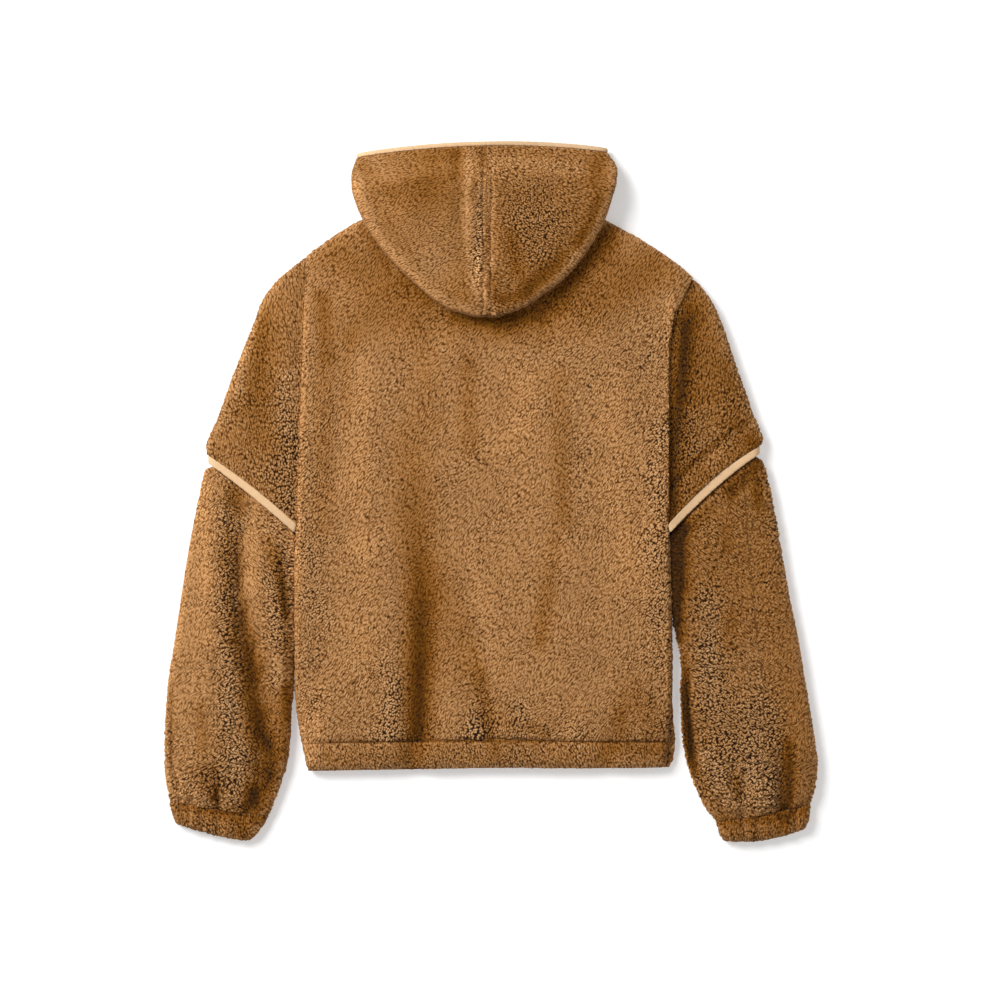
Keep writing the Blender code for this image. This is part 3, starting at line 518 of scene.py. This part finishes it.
            (-326, 5, 1.2, -322, -230, 1.0, 9), (-340, -60, -0.8, -345, -250, -1.0, 10),
            (-315, -312, -1.0, -313, -368, -6.0, 5.5), (-280, -340, -1.0, -281, -378, -4.2, 5),
            (-347, -340, -1.0, -346, -380, -3.6, 4), (-358, -345, -1.4, -357, -375, -3.0, 3),
            (-298, -335, 0.6, -298, -368, 2.0, 6), (-333, -330, 0.6, -332, -366, 1.8, 6),
            (-366, -222, -2.0, -367, -307, -3.4, 3), (-367, -307, -3.4, -356, -353, -3.0, 3),
            (-232, -40, -3.0, -230, -90, -2.0, 7)],
    },
    "lower_sleeve_right": {
        "fine": 2.6, "nap": 58, "grain": 0.88, "tuftMm": (3.4, 4.8), "rise": 1.05, "curl": 0.5,
        "parting": [(-380, 312), (-240, 314), (-100, 300), (20, 290)],
        "flat": (0.3, 0.43), "area": 0.105, "held": "laid", "on": [],
        "spots": [
            (315, -300, 26, 80, 0.6), (250, -200, 18, 120, 0.42), (352, -200, 14, 150, -0.35),
            (268, -290, 24, 60, 0.45)],
        "paintedShading": 0.745, "paintedStreaks": [
            (262, -170, 0.05, 288, -330, 0.09, 34), (215, -36, -0.94, 216, -110, -0.8, 10, 11),
            (216, -110, -0.8, 214, -168, -0.8, 8, 8), (276, 6, -0.3, 308, 34, -0.4, 10),
            (307, 12, -0.34, 308, -14, -0.3, 7), (276, 4, -0.2, 277, -8, -0.2, 7),
            (222, -46, -0.34, 250, -20, -0.2, 7), (272, -40, -0.16, 272, -66, -0.16, 7),
            (275, -140, -0.16, 275, -175, -0.16, 8), (252, -130, 0.14, 246, -230, 0.14, 15),
            (219, -185, -0.4, 226, -232, -0.8, 6), (226, -232, -0.8, 230, -272, -0.85, 9, 5),
            (230, -272, -0.85, 234, -304, -0.7, 9, 6), (234, -304, -0.7, 246, -336, -0.3, 8, 6),
            (302, -190, 0.1, 306, -330, 0.12, 22), (252, -300, 0.2, 276, -356, 0.24, 7),
            (342, -288, -0.4, 343, -350, -0.75, 8, 7), (343, -350, -0.75, 338, -380, -0.6, 7),
            (282, -328, -0.34, 284, -350, -0.3, 5), (287, -360, 0.14, 290, -374, 0.0, 6),
            (240, -300, 0.26, 243, -336, 0.3, 6), (350, -350, 0.16, 351, -362, 0.2, 6),
            (262, -376, -0.14, 291, -384, -0.34, 5), (291, -384, -0.24, 312, -378, -0.16, 4),
            (312, -378, -0.16, 338, -370, -0.3, 4), (316, -352, 0.16, 316, -366, 0.2, 9),
            (338, -368, -0.34, 368, -358, -0.24, 5), (328, 10, 0.16, 372, -220, 0.2, 9),
            (372, -220, 0.2, 378, -320, 0.2, 7)],
        "folds": [
            (226, -222, -3.0, 230, -267, -8.0, 20, 5), (230, -267, -8.0, 234, -304, -8.0, 20, 6),
            (234, -304, -8.0, 248, -342, -4.0, 20, 6), (254, -342, -4.5, 274, -372, -3.0, 4),
            (335, -285, -1.6, 337, -372, -8.0, 7, 6), (291, -325, -1.2, 290, -384, -5.0, 5.5),
            (277, -318, -1.2, 277, -358, -3.0, 4), (314, -230, 0.8, 314, -366, 2.4, 11),
            (354, -290, 0.4, 352, -368, 1.6, 7), (262, -250, 1.2, 266, -340, 1.4, 9),
            (215, 30, -3.0, 214, -150, -2.4, 9), (283, -20, -0.8, 274, -150, -1.0, 14),
            (248, -40, 1.2, 246, -200, 1.4, 14), (322, -60, 1.0, 330, -200, 1.0, 12),
            (300, 10, -1.0, 262, -20, -1.0, 8), (240, -168, -1.0, 320, -182, -1.0, 8)],
        "lean": [
            (212, -20, -4.8, 210, -75, -3.0, 9), (210, -75, -3.0, 209, -150, -2.2, 7),
            (214, -180, 2.2, 218, -210, 2.0, 7)],
    },
    "cuff_left": {
        "fine": 2.5, "nap": 100, "grain": 0.84, "tuftMm": (3.4, 4.4), "rise": 0.9, "curl": 0.6,
        "flat": (0.22, 0.045), "held": "gathered", "on": [], "spots": [],
        "paintedShading": 0.72, "paintedStreaks": [
            (-366, -358, -0.1, -316, -366, -0.3, 6), (-316, -366, -0.34, -262, -378, -0.3, 7),
            (-286, -388, -0.36, -288, -402, -0.2, 7), (-270, -388, 0.3, -262, -384, 0.4, 6)],
        "folds": [
            (-357, -360, -2.4, -352, -392, -1.0, 3), (-347, -362, -2.8, -344, -396, -1.2, 3),
            (-335, -364, -2.0, -331, -398, -1.0, 3), (-316, -366, -3.2, -313, -402, -1.4, 3.4),
            (-297, -368, -2.2, -294, -402, -1.2, 3), (-281, -374, -2.8, -280, -402, -1.2, 3)],
    },
    "cuff_right": {
        "fine": 2.5, "nap": 80, "grain": 0.84, "tuftMm": (3.4, 4.4), "rise": 0.9, "curl": 0.6,
        "flat": (0.22, 0.045), "held": "gathered", "on": [], "spots": [],
        "paintedShading": 0.71, "paintedStreaks": [
            (339, -372, -0.3, 339, -384, -0.3, 6), (262, -380, -0.2, 338, -372, -0.34, 6),
            (338, -372, -0.34, 368, -362, -0.24, 6)],
        "folds": [
            (277, -370, -2.2, 281, -400, -1.0, 3), (291, -378, -3.0, 294, -402, -1.2, 3.2),
            (306, -376, -2.0, 308, -402, -1.0, 3), (321, -372, -2.4, 323, -400, -1.0, 3),
            (336, -368, -3.2, 337, -398, -1.4, 3.2), (352, -362, -2.2, 352, -392, -1.0, 3)],
    },
    "hood_left": {
        "fine": 2.5, "nap": 205, "grain": 0.72, "tuftMm": (3.6, 6.4), "rise": 0.7, "curl": 0.18,
        "flat": (0.31, 0.2), "area": 0.045, "held": "folded", "on": ["back_panel"],
        "spots": [(-12, 330, 7, 60, 0.7), (-14, 270, 8, 40, 0.7)],
        "paintedShading": 0.72, "paintedStreaks": [
            (-155, 352, 0.3, -130, 294, 0.34, 8), (-130, 294, 0.34, -82, 241, 0.34, 7),
            (-82, 241, 0.34, -46, 214, 0.3, 7), (-46, 214, 0.3, -8, 207, 0.3, 6),
            (-24, 392, 0.16, -27, 322, 0.2, 6), (-24, 322, 0.24, -18, 240, 0.28, 8),
            (-40, 388, -0.28, -41, 366, -0.2, 8), (-153, 362, 0.2, -151, 346, 0.2, 6),
            (-7, 256, 0.14, -7, 240, 0.14, 5), (-9, 388, -0.3, -9, 378, -0.3, 4),
            (-14, 279, 0.2, -14, 225, 0.24, 7), (-140, 392, 0.16, -118, 330, 0.12, 13),
            (-66, 376, -0.22, -74, 350, -0.16, 24), (-144, 376, -0.14, -112, 338, -0.14, 9),
            (-50, 300, 0.1, -60, 262, 0.12, 26), (-11, 350, 0.3, -10, 300, 0.3, 6),
            (-92, 300, 0.12, -70, 262, 0.12, 26), (-16, 276, 0.22, -6, 222, 0.34, 6)],
        "wander": (-5, 12, 2.2),
        "folds": [
            (-8.6, 398, -1.4, -9.4, 330, -2.4, 2.2), (-9.4, 330, -2.4, -8.2, 262, -1.4, 1.8),
            (-8.2, 262, -1.8, -8.8, 205, -2.4, 2.0), (-25, 396, 2.2, -24, 268, 2.6, 6),
            (-38, 390, -2.0, -34, 312, -2.0, 8), (-16, 390, -1.2, -16, 250, -1.2, 3.4),
            (-150, 372, -1.8, -126, 352, -0.8, 5), (-110, 350, 0.8, -60, 280, 1.2, 18),
            (-146, 330, 1.0, -100, 262, 1.2, 10)],
    },
    "hood_right": {
        "fine": 2.5, "nap": 160, "grain": 0.8, "tuftMm": (3.4, 4.6), "rise": 0.9, "curl": 0.5,
        "flat": (0.31, 0.2), "area": 0.045, "held": "folded", "on": ["back_panel"],
        "spots": [(48, 320, 50, 45, 0.28), (125, 310, 22, 80, -0.45), (70, 235, 50, 22, -0.4)],
        "paintedShading": 0.76, "paintedStreaks": [
            (143, 378, 0.2, 140, 350, 0.24, 7), (140, 350, 0.2, 119, 290, 0.2, 6),
            (128, 356, 0.2, 128, 346, 0.2, 5), (117, 374, -0.24, 117, 358, -0.24, 7),
            (119, 290, 0.3, 76, 240, 0.3, 6), (76, 240, 0.3, 34, 212, 0.24, 5),
            (106, 292, -0.16, 104, 286, -0.16, 8), (97, 275, 0.2, 92, 266, 0.2, 8),
            (126, 385, -0.2, 130, 348, -0.28, 9), (130, 348, -0.28, 114, 308, -0.3, 8),
            (114, 308, -0.3, 92, 274, -0.26, 8), (92, 274, -0.32, 45, 236, -0.42, 11),
            (25, 292, -0.24, 30, 256, -0.24, 9), (2, 252, -0.44, 3, 222, -0.44, 5),
            (14, 222, -0.3, 40, 226, -0.24, 8), (84, 244, -0.16, 104, 262, -0.1, 5),
            (1, 350, 0.2, 1, 318, 0.2, 5), (2, 276, 0.2, 1, 218, 0.3, 5)],
        "wander": (-5, 12, 2.2), "lean": [
            (142, 340, -1.2, 119, 290, -2.6, 10), (119, 290, -2.6, 60, 230, -1.6, 10)],
        "folds": [
            (0.8, 398, -1.6, 1.6, 352, -2.2, 2.2), (1.6, 352, -2.2, 0.2, 290, -3.2, 2.2),
            (0.2, 290, -3.2, 0.8, 205, -2.8, 2.0), (12, 392, 0.8, 12, 240, 0.8, 6),
            (60, 370, -1.2, 66, 300, -1.4, 16), (118, 372, 1.0, 112, 290, 1.2, 10),
            (96, 290, -1.8, 50, 240, -1.6, 10)],
    },
}


def fleecePiece(name, look, material):
    mesh = nodeCopy(name)
    layer = mesh.faces.layers.int.new("seen")
    for face in mesh.faces:
        face[layer] = top
    splitLong(mesh, layer, (top,), meshing["coarse"] * mm)
    sortFaces(mesh, layer)
    splitLong(mesh, layer, (top,), meshing["middle"] * mm)
    soften(mesh, layer, (top,), 3)
    splitLong(mesh, layer, (under,), meshing["middle"] * mm)
    splitLong(mesh, layer, (top,), look["fine"] * mm)
    soften(mesh, layer, (top,), 6)
    edges = [e for e in mesh.edges if any(f[layer] == top for f in e.link_faces)]
    bmesh.ops.subdivide_edges(mesh, edges=edges, cuts=1, use_grid_fill=True)
    bmesh.ops.triangulate(mesh, faces=[f for f in mesh.faces if len(f.verts) > 3])
    soften(mesh, layer, (top,), 2)
    data = bpy.data.meshes.new(name + "_pile")
    mesh.normal_update()
    mesh.verts.ensure_lookup_table()
    seen = np.array([all(f[layer] == top for f in v.link_faces) for v in mesh.verts], float)
    seam = np.array([any(f[layer] == hidden and abs(f.normal.z) < 0.5 for f in v.link_faces)
                     for v in mesh.verts], float)
    below = np.array([all(f[layer] == under for f in v.link_faces) for v in mesh.verts], float)
    mesh.to_mesh(data)
    mesh.free()
    shapePile(data, look, seen, below, seam)
    data.shade_smooth()
    data.materials.append(material)
    piece = bpy.data.objects.new(name + "_pile", data)
    bpy.context.scene.collection.objects.link(piece)
    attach(piece, "root")
    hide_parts(name)
    area = sum(p.area for p in data.polygons) / 2
    print("fleece", name, len(data.polygons), "faces", round(area, 4), "m2")
    return piece


# Adds the listed creases, then raises the pile
def shapePile(data, look, seen, below, seam):
    points = coords(data) / mm
    x, y = points[:, 0].copy(), points[:, 1].copy()
    normals = normalsOf(data)
    facing = np.clip(normals[:, 2], 0, 1)
    u, v = napFrame(points, normals, look)
    swell = np.array([noise.noise(Vector(p) * nature["swellWave"]) for p in points])
    if "wander" in look:
        # A puckered seam isn't straight; both halves of it get the same shift
        middle, reach, shift = look["wander"]
        drift = np.array([noise.noise(Vector((0, k * 0.09, 2))) + 0.6 * noise.noise(Vector((0, k * 0.25, 7)))
                          for k in y])
        points[:, 0] += shift * drift * np.exp(-((x - middle) / reach) ** 2)
    points[:, 0] += foldsAt(look.get("lean", []), x, y)
    points[:, 2] += seen * facing * (foldsAt(look["folds"], x, y) + nature["swellMm"] * swell)
    data.vertices.foreach_set("co", (points * mm).ravel())
    data.update()
    normals = normalsOf(data)
    patch = np.array([noise.noise(Vector(p) * nature["patchWave"] + Vector((9, 3, 1))) for p in points])
    curl = np.clip(spotsAt(look["spots"], x, y, look["curl"]) + nature["patchCurl"] * patch, 0, 1)
    pile = tufts(u, v, look, curl)
    edge = 1 - np.clip(np.abs(normals[:, 2]), 0, 1)
    out = (pile - 0.5) * 2 * look["rise"] * (0.45 + 0.75 * curl) * (1 + edge) + nature["standMm"]
    points += normals * (out * seen + (pile - 1.0) * nature["underMm"] * below
                         + nature["seamMm"] * seam * (seen < 1))[:, None]
    points[:, 2] = np.maximum(points[:, 2], 0.0)      # nothing goes through the table
    data.vertices.foreach_set("co", (points * mm).ravel())
    data.update()
    # Painted light and shade: a level for each piece, the listed streaks of painted shadow (cast by the hood,
    # the body's edges and the tapes, and in creases and seams) and painted highlight, and a painted rim light
    # where the surface turns away from the camera
    paintedShading = look["paintedShading"] + foldsAt(look["paintedStreaks"], x, y) + nature["paintedRimLight"] * edge
    storePoint(data, "pile", "FLOAT", "value", np.where(seen + below > 0, pile, 0.5))
    storePoint(data, "curl", "FLOAT", "value", curl)
    storePoint(data, "paintedShading", "FLOAT", "value", np.clip(paintedShading, *nature["paintedShadingRange"]))
    storePoint(data, "nap", "FLOAT_VECTOR", "vector", np.stack([u, v, 0 * u], 1) / look.get("grain", 1.0))


# Painted light and shade on the tapes: the sleeve tapes darker towards where they meet the body, the hood
# tape darker overall and lighter at its left end, towards the light
bindings = {
    "sleeve_binding_left": {"flat": (0.23, 0.018), "on": ["lower_sleeve_left"], "size": 1.6,
                            "paintedStreaks": [(-262, -16, -0.02, -226, -44, -0.16, 12)]},
    "sleeve_binding_right": {"flat": (0.23, 0.018), "on": ["lower_sleeve_right"], "size": 1.6, "paintedShading": 0.98,
                             "paintedStreaks": [(240, 24, -0.04, 206, -24, -0.34, 13)]},
    "hood_binding": {"flat": (0.58, 0.014), "on": ["hood_left"], "size": 1.6, "paintedShading": 0.83,
                     "paintedStreaks": [(-160, 392, 0.3, -20, 402, 0.1, 20)]},
}


def bindingPiece(name, look, material):
    mesh = nodeCopy(name)
    layer = mesh.faces.layers.int.new("seen")
    for face in mesh.faces:
        face[layer] = top
    splitLong(mesh, layer, (top,), meshing["tapeCoarse"] * mm)
    soften(mesh, layer, (top,), 4)
    splitLong(mesh, layer, (top,), look["size"] * mm)
    soften(mesh, layer, (top,), 4)
    data = bpy.data.meshes.new(name + "_tape")
    mesh.to_mesh(data)
    mesh.free()
    data.shade_smooth()
    data.materials.append(material)
    x, y = coords(data)[:, :2].T / mm
    storePoint(data, "paintedShading", "FLOAT", "value", look.get("paintedShading", 1.0) + foldsAt(look.get("paintedStreaks", []), x, y))
    piece = bpy.data.objects.new(name + "_tape", data)
    bpy.context.scene.collection.objects.link(piece)
    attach(piece, "root")
    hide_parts(name)
    area = sum(p.area for p in data.polygons) / 2
    print("binding", name, len(data.polygons), "faces", round(area, 4), "m2")
    return piece


# White matt paper. It glows a little, as a lit table does, which keeps the shadows pale.
paper = {
    "size": 6.0,
    "surface": {"Base Color": linear("#DADADA"), "Roughness": 0.9, "Specular IOR Level": 0.1,
                "Emission Color": linear("#FFFFFF"), "Emission Strength": 0.33},
}


def studio():
    bpy.context.scene.view_settings.view_transform = "Standard"
    world = bpy.data.worlds.new("studio_white")
    bpy.context.scene.world = world
    world.use_nodes = True
    world.node_tree.nodes["Background"].inputs["Color"].default_value = linear("#FFFFFF")
    world.node_tree.nodes["Background"].inputs["Strength"].default_value = light["world"]
    for name in ("key", "fill"):
        lamp = bpy.data.lights.new(name + "_softbox", "AREA")
        lamp.size = light[name + "Size"]
        lamp.energy = light[name + "Power"]
        holder = bpy.data.objects.new(name + "_softbox", lamp)
        holder.location = light[name + "Place"]
        holder.rotation_euler = (-Vector(light[name + "Place"])).to_track_quat("-Z", "Y").to_euler()
        bpy.context.scene.collection.objects.link(holder)
    mesh = bmesh.new()
    bmesh.ops.create_grid(mesh, x_segments=1, y_segments=1, size=paper["size"])
    data = bpy.data.meshes.new("table_top")
    mesh.to_mesh(data)
    mesh.free()
    data.materials.append(startMaterial("white_paper_matt", paper["surface"])[0])
    floor = bpy.data.objects.new("table_top", data)
    bpy.context.scene.collection.objects.link(floor)
    print("studio: world, two softboxes and the table")


def camera():
    eye = bpy.data.cameras.new("camera")
    eye.sensor_width = 36
    eye.lens = 36 * (view["height"] - view["cloth"]) / view["span"]
    eye.clip_end = 30
    holder = bpy.data.objects.new("camera", eye)
    holder.location = (*view["middle"], view["height"])
    bpy.context.scene.collection.objects.link(holder)
    bpy.context.scene.camera = holder
    print("camera: straight down from", view["height"], "m")


camera()
studio()
sherpa = sherpaFleece()
made = {name: fleecePiece(name, look, sherpa) for name, look in pieces.items()}
knit = knitTape()
made.update({name: bindingPiece(name, look, knit) for name, look in bindings.items()})
